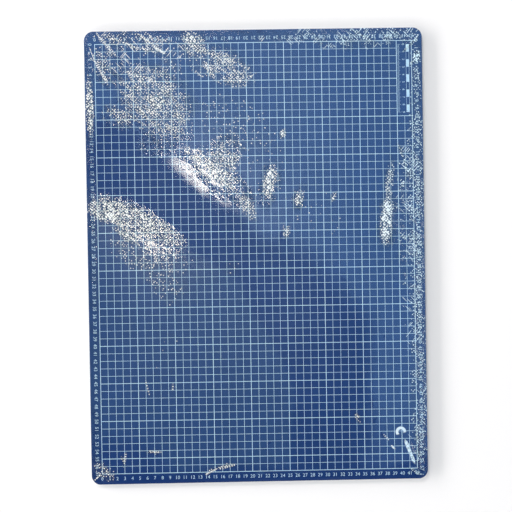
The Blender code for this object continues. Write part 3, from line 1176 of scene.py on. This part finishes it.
def add_world():
    """A dim ceiling with one bright lamp behind a dark band, light strips round it, and pale walls."""
    world = bpy.data.worlds.new("studio")
    bpy.context.scene.world = world
    world.use_nodes = True
    tree = world.node_tree
    tree.nodes.clear()
    z, on_x, on_y = mirror_plane(tree)
    u = (on_x - on_y) * math.sqrt(0.5)
    v = (on_x + on_y) * math.sqrt(0.5)
    upper, lower = dark_band(tree, u, v)
    outside = upper.most(lower)
    lamp, glow = bright_lamp(u, v)

    corner_x = (on_x - CORNER_CENTRE[0]) / CORNER_HALF_SIZE[0]
    corner_y = (on_y - CORNER_CENTRE[1]) / CORNER_HALF_SIZE[1]
    corner = ((corner_x * corner_x + corner_y * corner_y) ** 0.5).step(*CORNER_EDGE)
    foot = on_y.step(*FOOT_Y)
    ceiling = lower * corner * foot * outside * CEILING_LOWER
    sky = (upper * on_y.step(*SKY_Y) + SKY_EVERYWHERE) * foot
    veil = on_y.step(*VEIL_Y) * on_x.step(*VEIL_X) * on_x.step(*VEIL_END_X).inverse() * VEIL_STRENGTH

    far_out = abs(on_x).step(*WALL_X).most(abs(on_y).step(*WALL_Y))
    overhead = z.step(*WALL_HEIGHT)
    wall = z.step(*WALL_FADE).inverse() * (HORIZON_LIGHT - WALL_LIGHT) + WALL_LIGHT
    around = (far_out * overhead).most(overhead.inverse())
    inner = around.inverse()
    plain = glow * outside * inner + wall * around
    lights = (
        (lamp * outside * inner + light_strips(on_x, on_y) * overhead, LAMP_COLOUR),
        (ceiling * inner, CEILING_COLOUR),
        (sky * inner, SKY_COLOUR),
        (veil * inner, VEIL_COLOUR),
    )
    colour = tree.nodes.new("ShaderNodeCombineXYZ")
    for channel, socket in enumerate(colour.inputs):
        total = plain
        for light, tint in lights:
            total = total + light * tint[channel]
        plug(tree, socket, total)
    background = node(tree, "ShaderNodeBackground", Color=colour.outputs[0], Strength=1.0)
    finish_tree(tree, background, "ShaderNodeOutputWorld")


# Lamps that the film doesn't mirror, in metres and watts: name, place, target, size and power.
LAMPS = (
    ("key", (-2.0, 4.84, 2.4), (0, 0, 0), (1.28, 1.28), 258.0),
    ("low_side", (-5.0, 0.6, 0.62), (0, 0, 0.05), (12.0, 0.5), 530.0),
    ("low_front", (0.6, -5.0, 1.2), (0, 0, 0.05), (12.0, 0.9), 290.0),
)


def add_lamp(name, place, target, size, power):
    """A rectangular lamp, turned towards its target."""
    lamp = bpy.data.lights.new(name, "AREA")
    lamp.shape = "RECTANGLE"
    lamp.size, lamp.size_y = size
    lamp.energy = power
    holder = add_object(name, lamp)
    holder.location = place
    holder.rotation_euler = (Vector(target) - Vector(place)).to_track_quat("-Z", "Y").to_euler()
    holder.visible_glossy = False


# The floor, in metres. The lean turns its shading towards the low lamp, which draws out the thin shadow.
FLOOR_HALF_SIZE = 4.0
FLOOR_HEIGHT = -0.0001
FLOOR_COLOUR = (0.69, 0.66, 0.64, 1)
FLOOR_GLOW = (1, 0.96, 0.92, 1)
FLOOR_GLOW_STRENGTH = 0.2
FLOOR_LEAN = (-0.56, -0.14, 0.816)


def floor_material():
    """White, with what the camera and reflections see of it lifted to keep its shadow on a white ground."""
    material, tree = new_material("floor_white")
    lean = tree.nodes.new("ShaderNodeCombineXYZ")
    for socket, part in zip(lean.inputs, FLOOR_LEAN):
        socket.default_value = part
    diffuse = node(tree, "ShaderNodeBsdfDiffuse", Color=FLOOR_COLOUR, Normal=lean.outputs[0])
    glow = node(tree, "ShaderNodeEmission", Color=FLOOR_GLOW, Strength=FLOOR_GLOW_STRENGTH)
    both = tree.nodes.new("ShaderNodeAddShader")
    tree.links.new(diffuse.outputs[0], both.inputs[0])
    tree.links.new(glow.outputs[0], both.inputs[1])
    path = tree.nodes.new("ShaderNodeLightPath")
    seen = Signal(tree, path.outputs["Is Camera Ray"])
    for ray in ("Is Glossy Ray", "Is Transmission Ray"):
        seen = seen.most(Signal(tree, path.outputs[ray]))
    finish_tree(tree, mix_shaders(tree, seen, diffuse, both))
    return material


def add_floor():
    """A white table just below the mat."""
    far = FLOOR_HALF_SIZE
    corners = [(x, y, FLOOR_HEIGHT) for x, y in ((-far, -far), (far, -far), (far, far), (-far, far))]
    mesh = bpy.data.meshes.new("floor")
    mesh.from_pydata(corners, [], [(0, 1, 2, 3)])
    mesh.materials.append(floor_material())
    floor = add_object("floor", mesh)


def add_camera():
    """The photograph's camera, nearly straight above the mat."""
    camera = bpy.data.cameras.new("camera")
    camera.lens = CAMERA_LENS
    camera.sensor_width = CAMERA_SENSOR
    holder = add_object("camera", camera)
    holder.location = CAMERA_PLACE
    holder.rotation_euler = [math.radians(angle) for angle in CAMERA_TURN_DEGREES]
    bpy.context.scene.camera = holder


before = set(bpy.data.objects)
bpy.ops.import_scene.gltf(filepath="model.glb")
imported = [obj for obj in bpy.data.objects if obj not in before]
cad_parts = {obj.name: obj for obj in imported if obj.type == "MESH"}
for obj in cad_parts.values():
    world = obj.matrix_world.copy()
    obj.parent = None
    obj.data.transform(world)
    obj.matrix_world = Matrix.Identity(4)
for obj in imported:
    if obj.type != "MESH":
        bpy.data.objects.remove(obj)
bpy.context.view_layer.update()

add_camera()
add_world()
for lamp in LAMPS:
    add_lamp(*lamp)
add_floor()

ink = ink_material()
skin = vinyl_material("vinyl_skin", SKIN_SHADES, grain=1500, relief=0.00012)
cushion = vinyl_material("vinyl_cushion", CUSHION_SHADES, grain=2400, relief=0.00006)
dress(skin, "face_skin", "back_skin")
dress(cushion, "upper_cushion", "lower_cushion")
dress(board_material(), "rigid_core")
dress(ink, "grid_lines_down", "grid_lines_across")
dress(seal_material(), "seal_left", "seal_top", "seal_right")

columns, rows = grid_places()
face_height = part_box("grid_lines_down")[0].z / MM
digits = digit_shapes()
add_numbers(digits, ink, columns, rows, face_height)
add_panel_scale(digits, ink, columns, rows, face_height)
add_films(film_material())

bpy.context.scene.view_settings.view_transform = "Standard"
